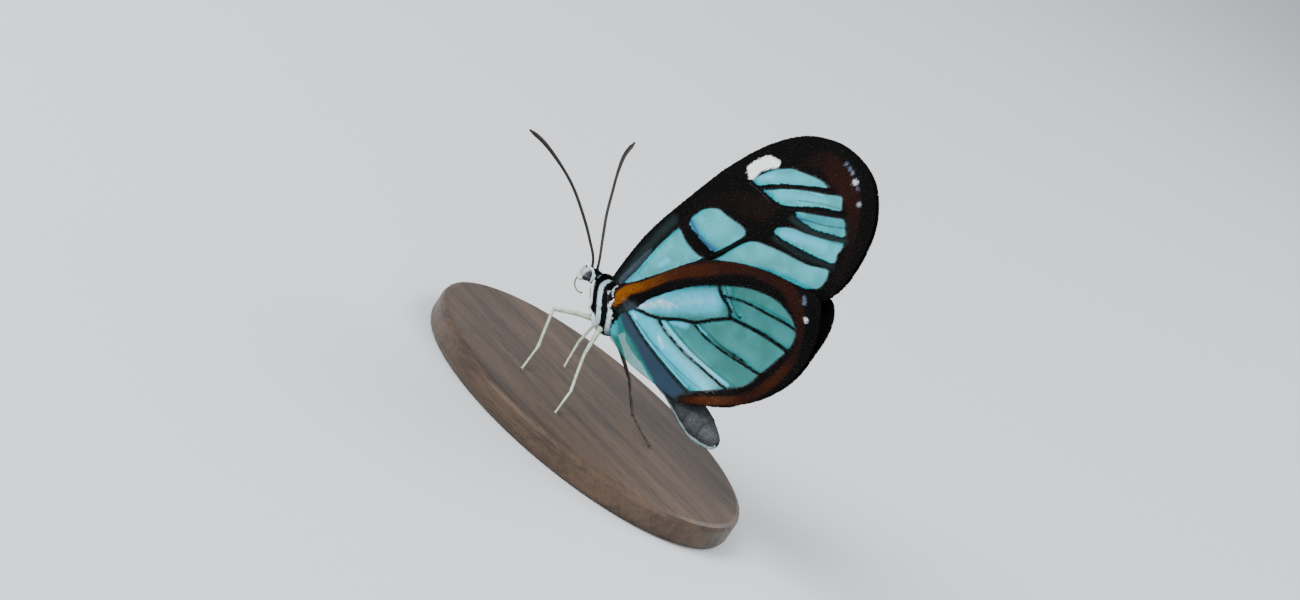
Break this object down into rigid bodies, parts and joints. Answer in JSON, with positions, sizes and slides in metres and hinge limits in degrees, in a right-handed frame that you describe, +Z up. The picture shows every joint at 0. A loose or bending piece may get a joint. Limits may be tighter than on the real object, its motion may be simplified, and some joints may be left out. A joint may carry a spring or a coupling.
{
  "type": "glasswing butterfly",
  "caption": "Life-size glasswing butterfly at rest on its legs, clear dark-rimmed wings closed over its back, curved feelers raised, on a flat oval stand.",
  "frame": {"origin": "centre of the stand's underside", "axes": "-X towards the head, -Y the butterfly's left, +Z up"},
  "size_m": [0.034, 0.024, 0.0338],
  "materials": {
    "thorax_scales": "black scales and fine hair with white stripes",
    "abdomen_scales": "grey-brown scales, pale below",
    "head_scales": "black scales with white marks",
    "eye": "dark grey, faceted and glossy",
    "antenna": "fine black scales",
    "palp_scales": "white scales",
    "proboscis": "smooth horn",
    "leg": "pale greenish-white scales",
    "leg_dark": "dark scales",
    "wing_membrane": "clear membrane with a blue-green sheen",
    "wing_scales": "black-brown to rust and orange scales",
    "stand": "dark stained, satin"
  },
  "bodies": {
    "root": {"abdomen": "abdomen_scales", "antenna_left": "antenna", "antenna_right": "antenna", "eye_left": "eye", "eye_right": "eye", "foreleg_left": "leg", "foreleg_right": "leg", "forewing_left": "wing_membrane", "forewing_right": "wing_membrane", "head": "head_scales", "hindleg_left_femur": "leg", "hindleg_left_tarsus": "leg", "hindleg_left_tibia": "leg", "hindleg_right_femur": "leg_dark", "hindleg_right_tarsus": "leg_dark", "hindleg_right_tibia": "leg_dark", "hindwing_left": "wing_membrane", "hindwing_right": "wing_membrane", "midleg_left_femur": "leg", "midleg_left_tarsus": "leg", "midleg_left_tibia": "leg", "midleg_right_femur": "leg", "midleg_right_tarsus": "leg", "midleg_right_tibia": "leg", "palp_left": "palp_scales", "palp_right": "palp_scales", "proboscis": "proboscis", "stand_base": "stand", "thorax": "thorax_scales"}
  },
  "joints": []
}
